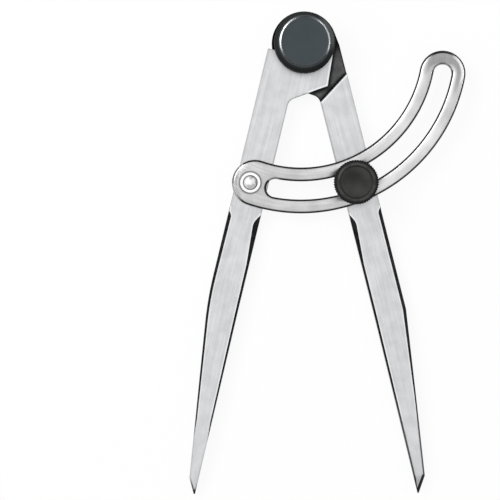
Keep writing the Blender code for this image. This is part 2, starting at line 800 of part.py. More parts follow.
def make_rivet_washer(leg, material):
    profile = washer_profile(
        RIVET_DIAMETER / 2 + FIXED_GAP,
        RIVET_WASHER_DIAMETER / 2,
        RIVET_WASHER_BASE,
        RIVET_WASHER_THICK,
        EDGE_BREAK,
    )
    washer = turned("rivet_washer", profile, material)
    washer.location = (*to_leg([Vector((RIVET_ACROSS_LEG, RIVET_FROM_PIVOT))], -1)[0], 0)
    washer.parent = leg
    return washer


def insert_top():
    return KNOB_BASE + INSERT_LENGTH


def make_clamp_screw(leg, material):
    profile = countersunk_profile(SCREW_DIAMETER / 2, SCREW_HEAD_DIAMETER / 2, insert_top())
    screw = turned("clamp_screw", profile, material)
    screw.location = (*to_leg([Vector((SCREW_ACROSS_LEG, SCREW_FROM_PIVOT))], 1)[0], 0)
    screw.parent = leg
    half, reach = DRIVE_SLOT_WIDTH / 2, SCREW_HEAD_DIAMETER
    corners = ((-reach, -half), (reach, -half), (reach, half), (-reach, half))
    slot = [Vector(corner) for corner in corners]
    cut(screw, prism("clamp_screw_drive_slot", slot, -CUT_MARGIN, DRIVE_SLOT_DEPTH))
    return screw


def make_clamp_washer(axis, material):
    profile = washer_profile(
        SCREW_DIAMETER / 2 + FIXED_GAP,
        CLAMP_WASHER_DIAMETER / 2,
        CLAMP_WASHER_BASE,
        CLAMP_WASHER_THICK,
        EDGE_BREAK,
    )
    washer = turned("clamp_washer", profile, material)
    washer.parent = axis
    return washer


def make_clamp_knob(axis, material):
    """The knob's rim is knurled between two chamfers, and its base has the insert's socket."""
    rim, face, base = KNOB_DIAMETER / 2, KNOB_FACE_DIAMETER / 2, KNOB_BASE_DIAMETER / 2
    low, top = KNOB_BASE, KNOB_BASE + KNOB_HEIGHT
    foot = low + KNOB_BASE_HEIGHT
    profile = [
        (0, top),
        (face, top),
        (rim - 2 * KNURL_DEPTH, top - KNOB_CHAMFER_DROP),
        (rim, top - KNOB_CHAMFER_DROP - KNURL_DEPTH),
        (rim, foot + KNURL_DEPTH),
        (rim - 2 * KNURL_DEPTH, foot),
        (base, foot),
        (base, low),
        (0, low),
    ]
    knob = turned("clamp_knob", profile, material, steps=KNURLS * 2, grooves=(3, 4))
    knob.parent = axis
    socket_outline = hexagon(INSERT_FLATS + 2 * FIXED_GAP)
    socket_top = insert_top() + FIXED_GAP
    cut(knob, prism("clamp_knob_insert_socket", socket_outline, low - CUT_MARGIN, socket_top))
    room = cylinder_cutter(
        "clamp_knob_thread_room",
        SCREW_DIAMETER / 2 + FIXED_GAP,
        low,
        insert_top() + THREAD_END_ROOM,
    )
    cut(knob, room)
    return knob


def make_knob_insert(axis, material):
    insert = prism("knob_insert", hexagon(INSERT_FLATS), KNOB_BASE, insert_top(), material)
    insert.parent = axis
    hole = SCREW_DIAMETER / 2 + RUNNING_GAP
    low, high = KNOB_BASE - CUT_MARGIN, insert_top() + CUT_MARGIN
    cut(insert, cylinder_cutter("knob_insert_hole", hole, low, high))
    return insert


def make_clamp_axis(leg):
    """An empty on the clamp screw's axis, about which the knob turns and along which it lifts."""
    axis = bpy.data.objects.new("clamp_axis", None)
    bpy.context.scene.collection.objects.link(axis)
    axis.location = (*to_leg([Vector((SCREW_ACROSS_LEG, SCREW_FROM_PIVOT))], 1)[0], 0)
    axis.parent = leg
    return axis


def build():
    clear_scene()
    ground_steel = make_material("ground_steel", (0.62, 0.62, 0.61), 0.32, 1.0)
    plated_steel = make_material("plated_steel", (0.5, 0.5, 0.49), 0.35, 1.0)
    bright_steel = make_material("bright_steel", (0.75, 0.75, 0.74), 0.22, 1.0)
    plain_steel = make_material("plain_steel", (0.35, 0.35, 0.35), 0.4, 1.0)
    cap_plastic = make_material("cap_plastic", (0.05, 0.06, 0.065), 0.4, 0.0)
    knob_plastic = make_material("knob_plastic", (0.03, 0.032, 0.03), 0.45, 0.0)
    left_leg = make_left_leg(ground_steel)
    right_leg = make_right_leg(ground_steel)
    make_pivot_screw(right_leg, plain_steel)
    make_head_washer(right_leg, plain_steel)
    make_disc_spring("lower_disc_spring", LOWER_SPRING_BASE, True, right_leg, plain_steel)
    make_disc_spring("upper_disc_spring", UPPER_SPRING_BASE, False, right_leg, plain_steel)
    make_pivot_nut(right_leg, plain_steel)
    make_head_cap(right_leg, cap_plastic)
    make_quadrant(plated_steel)
    make_rivet(left_leg, bright_steel)
    make_rivet_washer(left_leg, bright_steel)
    clamp_axis = make_clamp_axis(right_leg)
    make_clamp_screw(right_leg, plain_steel)
    make_clamp_washer(clamp_axis, plain_steel)
    make_clamp_knob(clamp_axis, knob_plastic)
    make_knob_insert(clamp_axis, plain_steel)


build()
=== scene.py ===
"""Looks of a wing divider: ground steel legs with blackened chamfers, a brushed slotted arc that a
knurled knob clamps, and a plastic cap on the head.

Lengths are in metres. The divider lies on its back on z = 0, front up, with the head towards +Y. Each leg
has its own frame: u runs from the closing line outwards and v from the pivot to the point. A side is -1
for the left leg and 1 for the right one.
"""

import json
import math

import bmesh
import bpy
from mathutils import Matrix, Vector

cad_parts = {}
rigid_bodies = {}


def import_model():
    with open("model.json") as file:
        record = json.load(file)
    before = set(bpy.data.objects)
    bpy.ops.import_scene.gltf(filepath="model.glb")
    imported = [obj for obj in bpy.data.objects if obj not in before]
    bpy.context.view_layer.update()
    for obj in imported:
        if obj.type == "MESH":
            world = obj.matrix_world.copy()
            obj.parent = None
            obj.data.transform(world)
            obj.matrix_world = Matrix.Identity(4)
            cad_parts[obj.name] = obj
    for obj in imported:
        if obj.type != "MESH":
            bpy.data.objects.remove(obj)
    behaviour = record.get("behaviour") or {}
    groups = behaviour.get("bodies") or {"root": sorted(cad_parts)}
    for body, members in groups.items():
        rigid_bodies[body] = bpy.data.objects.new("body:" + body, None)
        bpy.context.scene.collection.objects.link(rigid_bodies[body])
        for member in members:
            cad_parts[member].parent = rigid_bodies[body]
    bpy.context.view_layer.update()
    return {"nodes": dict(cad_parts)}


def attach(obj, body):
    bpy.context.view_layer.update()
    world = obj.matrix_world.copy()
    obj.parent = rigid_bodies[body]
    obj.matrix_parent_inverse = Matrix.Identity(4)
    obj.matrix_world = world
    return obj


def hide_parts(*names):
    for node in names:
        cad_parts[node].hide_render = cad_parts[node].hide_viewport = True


MM = 0.001

# Camera, over a picture that is measured at the height of the legs' faces
IMAGE_CENTRE = (-21.9 * MM, -83.4 * MM)
IMAGE_SPAN = 201.6 * MM
CAMERA_ABOVE = -60.0 * MM
LENS = 135.0
SENSOR = 36.0

# Surroundings: (height in the sky, level), and (name, place, aim, size, power)
FLOOR_GAP = 0.05 * MM
FLOOR_HALF_WIDTH = 4.0
FLOOR_COLOUR = (0.9, 0.9, 0.9, 1.0)
FLOOR_GLOW = 0.9
SKY_LEVELS = ((0.0, 0.8), (0.16, 0.75), (0.3, 0.3), (0.72, 0.35), (0.82, 1.0), (1.0, 1.0))
LAMPS = (
    ("upper_left", (-0.7, 0.35, 0.9), (-0.02, -0.08, 0), (0.6, 0.6), 6.0),
    ("left_strip", (-0.5, 0.16, 0.42), (0, 0, 0.01), (1.3, 0.07), 1.3),
    ("right_strip", (0.5, 0.16, 0.42), (0, 0, 0.01), (0.9, 0.06), 0.6),
)

# Legs. Levels are heights, and the places along a leg are measured from the pivot
HALF_OPENING = math.radians(27.7) / 2
LEAN = math.radians(0.27)
LEG_LENGTH = 187.6 * MM
LEG_FACE = 6.0 * MM
LAP_LEVEL = 3.0 * MM
CHAMFERS_FROM = 71.2 * MM
# Where the painted highlight beside the chamfers fades and ends along a leg
HIGHLIGHT_FADES_FROM = 148 * MM
HIGHLIGHT_GONE_FROM = 168 * MM
POINT_FROM = 181.4 * MM
# How far outwards from the closing line a leg's point starts and ends
POINT_OUTSIDE = {-1: 3.89 * MM, 1: 4.69 * MM}
TIP_OUTSIDE = 0.65 * MM

# Finish of the legs: grain scales along (u, v, z), (lowest, highest) levels, and tints. A shade multiplies
# a level, and a gain is added to it
LEG_GRAIN_SCALES = (2600.0, 45.0, 2600.0)
LEG_GRAIN = (0.6, 0.695)
LEG_CLOUDS = 0.04
LEG_TINT = (0.99, 1.0, 1.02)
BRIGHTEST_STEEL = 0.97
SIDE_WALL_SHADE = 0.82
PLAIN_EDGE_SHADE = 0.76
# Painted shade on the right leg's face near its point
RIGHT_POINT_SHADE = 0.72
LOWER_LEG_GAIN = 0.035
# A painted highlight on the face beside the chamfers and along the lap's edges
EDGE_HIGHLIGHT_GAIN = 0.42
EDGE_REACH = 1.3 * MM
CHAMFER_BLACK = (0.01, 0.028)
CHAMFER_TINT = (0.97, 0.99, 1.05)
LOWER_CHAMFER_GAIN = 0.09
LAP_BLACK = (0.08, 0.11)
LAP_TINT = (0.99, 1.0, 1.0)
# Painted shade in the lap's corners
LAP_CORNER_SHADE = 0.1
LAP_EDGE_SHADE = 0.15
# Painted shade in the lap under the cap
LAP_UNDER_CAP_SHADE = 0.15

# Slotted arc
ARC_CENTRE = Vector((-1.340, -1.396)) * MM
ARC_RADIUS = 58.0 * MM
ARC_BAND = 18.5 * MM
ARC_LOW = 6.2 * MM
ARC_TOP = 8.2 * MM
SLOT_WIDTH = 7.3 * MM
RIVET = Vector((-21.791, -56.205)) * MM
RIVET_HOLE = 2.08 * MM
RIVET_AT = math.radians(249.54)
BAND_START = RIVET_AT + 1.8 * MM / ARC_RADIUS
SLOT_START = RIVET_AT + 10.3 * MM / ARC_RADIUS
SLOT_END = math.radians(360 - 10.875)

# Edges of the arc: a small rounding at the back, and (inset, drop) in millimetres at the crowned front
BACK_ROUNDING = 0.3 * MM
BACK_FLAT = 0.5 * MM
EDGE_DROPS = (
    (0.0, 1.0), (0.1, 0.8), (0.3, 0.58), (0.6, 0.36), (0.9, 0.25), (1.2, 0.185), (1.6, 0.115), (2.0, 0.055),
    (2.4, 0.0),
)

# Finish of the arc: grain scales across, along and upwards, then as for the legs
ARC_GRAIN_SCALES = (2400.0, 3.0, 800.0)
ARC_GRAIN = (0.56, 0.68)
ARC_CLOUDS = 0.065
# Painted shade on the arc's round edges and walls
ARC_EDGE_SHADE = (0.025, 0.055)
# Painted shade towards the arc's far and near ends, and a painted highlight along a stretch between them
FAR_END_SHADE = 0.6
# A painted highlight on the far end's rim
FAR_RIM_HIGHLIGHT_GAIN = 0.3
NEAR_END_SHADE = 0.92
HIGHLIGHT_STRETCH_GAIN = (0.085, 0.125)
# Painted shade on the round edges left of the rivet, lifted again below it, and a painted contact shadow
# round the rivet's washer
RIVET_END_SHADE = 0.5
BELOW_RIVET_SHADE = 1.6
RIVET_RING_SHADE = 0.5

# Cap
CAP_RADIUS = 12.25 * MM
CAP_LOW = 6.2 * MM
CAP_TOP = 16.0 * MM
CAP_DISH = 0.15 * MM
CAP_BEAD = 9.8 * MM
CAP_WALL = 1.4 * MM
CAP_INNER_STEP = 10.4 * MM
CAP_BORE = 7.7 * MM
CAP_BORE_TOP = 14.6 * MM
CAP_SLATE = ((0.037, 0.051, 0.0575), (0.0435, 0.056, 0.063))
CAP_RIM_BLACK = (0.012, 0.0135, 0.0145, 1.0)
CAP_WALL_BLACK = (0.002, 0.002, 0.002, 1.0)
CAP_SHEEN = (0.13, 0.135, 0.14, 1.0)
CAP_SHEEN_TOWARDS = (0.94, 0.34)
# A painted highlight on the bead, brightest in the given direction and its mirror
BEAD_HIGHLIGHT = (0.14, 0.42)
BEAD_TINT = (0.98, 1.0, 1.02)
BEAD_HIGHLIGHT_TOWARDS = (0.906, 0.423)

# Knob
KNOB = Vector((20.450, -56.106)) * MM
KNOB_RADIUS = 8.9 * MM
KNOB_FACE = 7.55 * MM
KNOB_GROOVE = 6.35 * MM
KNOB_LOW = 9.6 * MM
KNOB_TOP = 18.1 * MM
KNOB_FOOT = 7.0 * MM
KNOB_FOOT_HEIGHT = 1.2 * MM
INSERT_BORE = 4.9 * MM
INSERT_BORE_DEPTH = 5.1 * MM
SCREW_BORE = 2.7 * MM
SCREW_BORE_DEPTH = 6.2 * MM
KNURLS = 54
STEPS_PER_KNURL = 8
KNURL_DEPTH = 0.3 * MM
KNURL_SHARPNESS = 1.4
KNOB_BLACK = ((0.006, 0.007, 0.0055), (0.033, 0.0345, 0.0295))
KNOB_RING_HIGHLIGHT = (0.05, 0.052, 0.05, 1.0)
KNURL_BLACK = (0.003, 0.003, 0.003, 1.0)

# Turned steel
TURNED_RINGS = 2200.0
DARKEST_RING = 0.92
TURNED_CLOUDS = 0.03
# Painted shade where the rivet's head meets its washer, and a painted contact shadow at the washer's edge
RING_SHADE = 0.22
RIVET_SHADE_RINGS = ((2.5 * MM, 3.0 * MM), (4.05 * MM, 4.6 * MM))

# Depth of the finest marks, as bumps
STEEL_MARKS = 0.02 * MM
MOULDED_MARKS = 0.012 * MM


class Graph:
    """A material's node tree, with short calls for the nodes that the materials here use."""

    def __init__(self, name):
        self.material = bpy.data.materials.new(name)
        self.material.use_nodes = True
        self.tree = self.material.node_tree
        self.shader = self.tree.nodes["Principled BSDF"]
        self.object_point = self.add("ShaderNodeTexCoord").outputs["Object"]

    def add(self, kind, **settings):
        node = self.tree.nodes.new(kind)
        for name, value in settings.items():
            setattr(node, name, value)
        return node

    def feed(self, socket, value):
        if isinstance(value, bpy.types.NodeSocket):
            self.tree.links.new(value, socket)
        else:
            socket.default_value = value

    def math(self, operation, *values):
        node = self.add("ShaderNodeMath", operation=operation)
        for socket, value in zip(node.inputs, values):
            self.feed(socket, value)
        return node.outputs[0]

    def split(self, vector):
        node = self.add("ShaderNodeSeparateXYZ")
        self.feed(node.inputs[0], vector)
        return node.outputs

    def join(self, x, y, z):
        node = self.add("ShaderNodeCombineXYZ")
        for socket, value in zip(node.inputs, (x, y, z)):
            self.feed(socket, value)
        return node.outputs[0]

    def turned(self, vector, angle):
        node = self.add("ShaderNodeVectorRotate", rotation_type="Z_AXIS")
        self.feed(node.inputs["Vector"], vector)
        node.inputs["Angle"].default_value = angle
        return node.outputs[0]

    def stretched(self, place, scales):
        """A place with each of its three parts scaled, which draws out a noise."""
        return self.join(*(self.math("MULTIPLY", part, scale) for part, scale in zip(place, scales)))

    def noise(self, vector, scale=1.0, detail=2.0, roughness=0.5):
        node = self.add("ShaderNodeTexNoise")
        self.feed(node.inputs["Vector"], vector)
        node.inputs["Scale"].default_value = scale
        node.inputs["Detail"].default_value = detail
        node.inputs["Roughness"].default_value = roughness
        return node.outputs[0]

    def between(self, value, low, high, to_low=0.0, to_high=1.0):
        """The value from low to high as a smooth step from to_low to to_high."""
        node = self.add("ShaderNodeMapRange", interpolation_type="SMOOTHSTEP")
        for name, number in zip(
            ("Value", "From Min", "From Max", "To Min", "To Max"), (value, low, high, to_low, to_high)
        ):
            self.feed(node.inputs[name], number)
        return node.outputs[0]

    def spread(self, noise, lowest, highest):
        """A noise's usual range as a smooth step from lowest to highest."""
        return self.between(noise, 0.3, 0.7, lowest, highest)

    def scaled(self, value, mask, factor):
        """The value, times the factor where the mask is 1."""
        return self.math("MULTIPLY", value, self.between(mask, 0.0, 1.0, 1.0, factor))

    def raised(self, value, mask, amount):
        """The value, plus the amount where the mask is 1."""
        return self.math("ADD", value, self.math("MULTIPLY", mask, amount))

    def blend(self, factor, first, second):
        node = self.add("ShaderNodeMix", data_type="RGBA")
        sockets = {s.name: s for s in node.inputs if s.type == "RGBA"}
        self.feed(node.inputs[0], factor)
        for name, colour in (("A", first), ("B", second)):
            self.feed(sockets[name], colour)
        return [s for s in node.outputs if s.type == "RGBA"][0]

    def grey(self, level, tint=(1.0, 1.0, 1.0)):
        """A colour of the given level, as a number or a socket, in a light tint."""
        return self.join(*(self.math("MULTIPLY", level, part) for part in tint))

    def bump(self, height, distance, strength):
        node = self.add("ShaderNodeBump")
        node.inputs["Strength"].default_value = strength
        node.inputs["Distance"].default_value = distance
        self.feed(node.inputs["Height"], height)
        self.feed(self.shader.inputs["Normal"], node.outputs[0])

    def body_normal(self, normal):
        """A normal in the frame of the surface's own body."""
        node = self.add(
            "ShaderNodeVectorTransform", vector_type="NORMAL", convert_from="WORLD", convert_to="OBJECT"
        )
        self.feed(node.inputs[0], normal)
        return node.outputs[0]

    def dot(self, first, second):
        node = self.add("ShaderNodeVectorMath", operation="DOT_PRODUCT")
        self.feed(node.inputs[0], first)
        self.feed(node.inputs[1], second)
        return node.outputs["Value"]

    def both(self, *masks):
        """1 where all the masks are 1."""
        result = masks[0]
        for mask in masks[1:]:
            result = self.math("MULTIPLY", result, mask)
        return result

    def either(self, *masks):
        """1 where any of the masks is 1."""
        result = masks[0]
        for mask in masks[1:]:
            result = self.math("MAXIMUM", result, mask)
        return result

    def outside(self, mask):
        """1 where the mask is 0."""
        return self.math("SUBTRACT", 1.0, mask)

    def within(self, value, low, high, soft):
        """1 from low to high, with soft borders."""
        half = soft / 2
        rising = self.between(value, low - half, low + half)
        falling = self.between(value, high + half, high - half)
        return self.both(rising, falling)

    def from_axis(self, centre):
        """The distance from an upright axis."""
        x, y, _ = self.split(self.object_point)
        from_x = self.math("SUBTRACT", x, centre[0])
        from_y = self.math("SUBTRACT", y, centre[1])
        x_squared = self.math("MULTIPLY", from_x, from_x)
        y_squared = self.math("MULTIPLY", from_y, from_y)
        return self.math("SQRT", self.math("ADD", x_squared, y_squared))

    def towards(self, x, y, direction):
        """How far a place lies in a level direction."""
        along_x = self.math("MULTIPLY", x, direction[0])
        along_y = self.math("MULTIPLY", y, direction[1])
        return self.math("ADD", along_x, along_y)

    def finish(self, colour=None, roughness=None, **constants):
        if colour is not None:
            self.feed(self.shader.inputs["Base Color"], colour)
        if roughness is not None:
            self.feed(self.shader.inputs["Roughness"], roughness)
        for name, value in constants.items():
            self.shader.inputs[name.replace("_", " ")].default_value = value
        return self.material


def polar(centre, radius, angle):
    return Vector((centre[0] + radius * math.cos(angle), centre[1] + radius * math.sin(angle)))


def lap_recess(g, side, v, z, normal, upright):
    """The floor of the lap's recess and its slanted shoulder."""
    facing = g.math("MULTIPLY", normal[2], side)
    sunk = g.math("LESS_THAN", g.math("ABSOLUTE", g.math("SUBTRACT", z, LAP_LEVEL)), 0.3 * MM)
    floor = g.both(g.math("GREATER_THAN", facing, 0.9), sunk)
    towards_head = g.math("GREATER_THAN", normal[1], 0.7)
    near_head = g.both(g.math("GREATER_THAN", v, 8 * MM), g.math("LESS_THAN", v, 50 * MM))
    shoulder = g.both(towards_head, near_head, g.math("LESS_THAN", upright, 0.1))
    return g.either(floor, shoulder)


def black_point(g, side, u, v):
    """The black rims beside a leg's point, and its black tip."""
    corner = POINT_OUTSIDE[side]
    along = (Vector((TIP_OUTSIDE, LEG_LENGTH)) - Vector((corner, POINT_FROM))).normalized()
    beyond_u = g.math("MULTIPLY", g.math("SUBTRACT", u, corner), along.y)
    beyond_v = g.math("MULTIPLY", g.math("SUBTRACT", v, POINT_FROM), -along.x)
    inside = g.math("MULTIPLY", g.math("ADD", beyond_u, beyond_v), -1.0)
    if side < 0:
        outer_stretch = g.between(v, POINT_FROM - 0.6 * MM, POINT_FROM + 3 * MM)
        inner_stretch = g.between(v, POINT_FROM + 1 * MM, POINT_FROM + 4 * MM)
        outer_rim = g.both(g.between(inside, 0.8 * MM, 0.35 * MM), outer_stretch, 0.9)
        inner_rim = g.both(g.between(u, 0.65 * MM, 0.35 * MM), inner_stretch, 0.7)
        rims = g.either(outer_rim, inner_rim)
        tip_from = LEG_LENGTH - 2.8 * MM
    else:
        stretch = g.between(v, POINT_FROM - 1.0 * MM, POINT_FROM - 0.6 * MM)
        rims = g.both(g.between(inside, 1.45 * MM, 1.2 * MM), stretch)
        tip_from = LEG_LENGTH - 1.6 * MM
    return g.either(g.between(v, tip_from, LEG_LENGTH - 1.4 * MM), rims)


def leg_steel(side):
    """Ground steel with a fine grain down the leg, painted highlights beside its chamfers and lap, painted
    shade in its lap and near the right point, and blackened chamfers and lap.
    """
    g = Graph("ground_steel_left" if side < 0 else "ground_steel_right")
    turn = -side * HALF_OPENING - LEAN
    place = g.turned(g.object_point, turn)
    x, y, z = g.split(place)
    u = g.math("MULTIPLY", x, side)
    v = g.math("MULTIPLY", y, -1.0)
    flat_normal = g.add("ShaderNodeNewGeometry").outputs["True Normal"]
    bevel = g.add("ShaderNodeBevel", samples=8)
    bevel.inputs["Radius"].default_value = EDGE_REACH
    eased_normal = bevel.outputs[0]
    normal = g.split(g.turned(g.body_normal(flat_normal), turn))
    eased = g.split(g.turned(g.body_normal(eased_normal), turn))
    upright = g.math("ABSOLUTE", normal[2])
    agreement = g.dot(flat_normal, eased_normal)
    by_edge = g.between(agreement, 0.99, 0.965)

    grain = g.noise(g.stretched((u, v, z), LEG_GRAIN_SCALES), detail=3.0, roughness=0.6)
    clouds = g.noise(place, 160.0, detail=3.0, roughness=0.55)
    level = g.math("ADD", g.spread(grain, *LEG_GRAIN), g.spread(clouds, -LEG_CLOUDS, LEG_CLOUDS))
    level = g.scaled(level, g.between(upright, 0.3, 0.05), SIDE_WALL_SHADE)
    level = g.math("ADD", level, g.between(v, 140 * MM, 172 * MM, 0.0, LOWER_LEG_GAIN))

    front = g.math("GREATER_THAN", z, LEG_FACE - 0.5 * MM)
    chamfered = g.both(
        g.between(v, CHAMFERS_FROM - 0.6 * MM, CHAMFERS_FROM),
        g.between(v, HIGHLIGHT_GONE_FROM, HIGHLIGHT_FADES_FROM),
    )
    if side < 0:
        beside_lap = g.both(g.between(u, -5.2 * MM, -6.8 * MM), g.math("LESS_THAN", v, 36 * MM))
    else:
        beside_lap = g.both(g.between(eased[1], 0.02, 0.06), g.math("LESS_THAN", v, 50 * MM))
    by_lap = g.both(beside_lap, g.between(agreement, 0.9993, 0.995))
    # A painted highlight on the front face beside the chamfers and along the lap's edges, broken by streaks
    edge_highlight = g.both(front, g.either(g.both(chamfered, by_edge), by_lap))
    plain_edge = g.both(by_edge, g.outside(g.both(front, g.either(chamfered, beside_lap))))
    level = g.scaled(level, plain_edge, PLAIN_EDGE_SHADE)
    streaks = g.between(clouds, 0.35, 0.65, 0.75, 1.0)
    on_face = g.between(upright, 0.955, 0.965)
    level = g.raised(level, g.both(edge_highlight, on_face, streaks), EDGE_HIGHLIGHT_GAIN)
    # Painted shade on the right leg's face near its point
    if side > 0:
        point_shade = g.between(v, POINT_FROM - 2 * MM, POINT_FROM + 1 * MM, 1.0, RIGHT_POINT_SHADE)
        level = g.math("MULTIPLY", level, point_shade)
    steel = g.grey(g.math("MINIMUM", level, BRIGHTEST_STEEL), LEG_TINT)

    patches = g.noise(place, 420.0, detail=4.0, roughness=0.6)
    lower = g.both(g.between(v, 140 * MM, HIGHLIGHT_GONE_FROM), g.between(v, POINT_FROM, POINT_FROM - 2 * MM))
    chamfer_level = g.raised(g.between(patches, 0.35, 0.7, *CHAMFER_BLACK), lower, LOWER_CHAMFER_GAIN)
    chamfer_black = g.grey(chamfer_level, CHAMFER_TINT)

    # Painted shade in the lap's corners, from ambient occlusion
    occlusion = g.add("ShaderNodeAmbientOcclusion", samples=8)
    occlusion.inputs["Distance"].default_value = 2.2 * MM
    corner_shade = g.between(occlusion.outputs["AO"], 0.62, 0.95, LAP_CORNER_SHADE, 1.0)
    lap_level = g.math("MULTIPLY", g.spread(patches, *LAP_BLACK), corner_shade)
    lap_level = g.scaled(lap_level, by_edge, LAP_EDGE_SHADE)
    # Painted shade in the lap under the cap
    under_cap_shade = g.between(v, 3 * MM, 9 * MM, LAP_UNDER_CAP_SHADE, 1.0)
    lap_black = g.grey(g.math("MULTIPLY", lap_level, under_cap_shade), LAP_TINT)

    sloping = g.both(g.math("GREATER_THAN", upright, 0.1), g.math("LESS_THAN", upright, 0.955))
    milled = g.both(sloping, g.math("GREATER_THAN", v, CHAMFERS_FROM))
    lap = lap_recess(g, side, v, z, normal, upright)
    colour = g.blend(milled, steel, chamfer_black)
    colour = g.blend(lap, colour, lap_black)
    colour = g.blend(black_point(g, side, u, v), colour, chamfer_black)

    black = g.either(milled, lap)
    roughness = g.raised(g.spread(grain, 0.28, 0.36), black, 0.08)
    marks = g.math("ADD", g.both(grain, g.outside(black)), g.both(patches, black))
    g.bump(marks, STEEL_MARKS, 0.35)
    return g.finish(colour, roughness, Metallic=1.0)


def left_of_rivet(g):
    x, y, _ = g.split(g.object_point)
    left = g.between(x, RIVET.x - 3.0 * MM, RIVET.x - 5.5 * MM)
    return g.both(left, g.between(y, RIVET.y + 8.5 * MM, RIVET.y + 6.0 * MM))


def below_rivet(g):
    """Left of the rivet and level with it or below, where the arc's outline fades."""
    y = g.split(g.object_point)[1]
    return g.both(left_of_rivet(g), g.between(y, RIVET.y + 1.0 * MM, RIVET.y - 2.0 * MM))


def arc_level(g, grain, clouds, along, outwards, normal, far_end):
    """How bright the brushed arc is, apart from its dark edges, with painted shade and painted highlights in
    places.
    """
    x, y, _ = g.split(g.object_point)
    level = g.math("ADD", g.between(grain, 0.28, 0.72, *ARC_GRAIN), g.spread(clouds, -ARC_CLOUDS, ARC_CLOUDS))

    # Painted shade towards the far and near ends, and a painted highlight along a middle stretch
    skewed = g.raised(along, outwards, 8.0)
    sideways = g.math("ABSOLUTE", normal[0])
    far_stretch = g.between(skewed, math.radians(-20), math.radians(-7))
    level = g.scaled(level, g.both(far_stretch, g.between(sideways, 0.2, 0.08)), FAR_END_SHADE)
    near_shade = g.between(along, math.radians(-108), math.radians(-84), NEAR_END_SHADE, 1.0)
    level = g.math("MULTIPLY", level, near_shade)
    highlight_gain = g.between(outwards, -2.0 * MM, 4.0 * MM, *HIGHLIGHT_STRETCH_GAIN)
    level = g.raised(level, g.within(along, math.radians(-60), math.radians(-27), 0.2), highlight_gain)

    # Painted shade on the round edges left of the rivet, lifted again below it, and a painted contact shadow
    # round the rivet's washer
    off_flat = g.outside(g.between(g.math("ABSOLUTE", normal[2]), 0.985, 0.998))
    rivet_edge = g.both(left_of_rivet(g), off_flat)
    level = g.scaled(level, rivet_edge, RIVET_END_SHADE)
    level = g.scaled(level, g.both(rivet_edge, below_rivet(g)), BELOW_RIVET_SHADE)
    rivet_ring = g.within(g.from_axis(RIVET), 4.2 * MM, 4.75 * MM, 0.3 * MM)
    level = g.scaled(level, rivet_ring, RIVET_RING_SHADE)

    # A painted highlight on the far end's rim
    far_rim_highlight = g.both(
        g.within(g.from_axis(far_end), ARC_BAND / 2 - 1.7 * MM, ARC_BAND / 2 - 0.4 * MM, 0.3 * MM),
        g.between(x, far_end.x + 3.0 * MM, far_end.x + 5.5 * MM),
        g.between(y, far_end.y - 5.0 * MM, far_end.y - 1.0 * MM),
    )
    return g.raised(level, far_rim_highlight, FAR_RIM_HIGHLIGHT_GAIN)


def arc_outline(g, upright, along, outwards, far_end):
    """The dark edges of the arc, as painted shade: faint beside the rivet, broad at the slot's start and over
    the far end.
    """
    x, y, _ = g.split(g.object_point)
    from_far_end = g.from_axis(far_end)
    slot_start = polar(ARC_CENTRE, ARC_RADIUS, SLOT_START)

    slot_top = g.both(
        g.between(from_far_end, 5.0 * MM, 4.4 * MM),
        g.between(y, far_end.y + 0.5 * MM, far_end.y + 2.5 * MM),
    )
    slot_brow = g.both(
        g.between(along, math.radians(-98), math.radians(-101)),
        g.within(outwards, -5.2 * MM, -2.4 * MM, 0.5 * MM),
    )
    # Painted shade where the edges slope, lighter at the slot's top and brow and beside the rivet
    dark = g.between(upright, 0.94, 0.88)
    for mask, left in ((slot_top, 0.25), (left_of_rivet(g), 0.5), (below_rivet(g), 0.0), (slot_brow, 0.35)):
        dark = g.scaled(dark, mask, left)

    # Broader painted shade at the slot's start and along the far end's top
    slot_start_shade = g.both(
        g.within(g.from_axis(slot_start), SLOT_WIDTH / 2, SLOT_WIDTH / 2 + 0.9 * MM, 0.3 * MM),
        g.between(x, slot_start.x - 2.6 * MM, slot_start.x - 3.2 * MM),
    )
    top_rim_shade = g.both(
        g.within(from_far_end, ARC_BAND / 2 - 1.1 * MM, ARC_BAND / 2, 0.3 * MM),
        g.between(y, far_end.y + 6.0 * MM, far_end.y + 8.2 * MM),
    )
    return g.either(dark, slot_start_shade, top_rim_shade)


def arc_steel():
    """Brushed along the arc, with round edges and walls darkened by painted shade, and painted light and
    shade along its length.
    """
    g = Graph("brushed_arc")
    x, y, z = g.split(g.object_point)
    along = g.math("ARCTAN2", g.math("SUBTRACT", y, ARC_CENTRE.y), g.math("SUBTRACT", x, ARC_CENTRE.x))
    across = g.from_axis(ARC_CENTRE)
    outwards = g.math("SUBTRACT", across, ARC_RADIUS)
    normal = g.split(g.body_normal(g.add("ShaderNodeNewGeometry").outputs["Normal"]))
    upright = g.math("ABSOLUTE", normal[2])
    far_end = polar(ARC_CENTRE, ARC_RADIUS, SLOT_END)

    grain = g.noise(g.stretched((across, along, z), ARC_GRAIN_SCALES), detail=3.0, roughness=0.65)
    clouds = g.noise(g.object_point, 110.0, detail=3.0, roughness=0.55)
    level = arc_level(g, grain, clouds, along, outwards, normal, far_end)
    dark = arc_outline(g, upright, along, outwards, far_end)
    edge = g.grey(g.spread(clouds, *ARC_EDGE_SHADE))
    g.bump(grain, STEEL_MARKS, 0.3)
    return g.finish(g.blend(dark, g.grey(level), edge), g.spread(grain, 0.25, 0.34), Metallic=1.0)


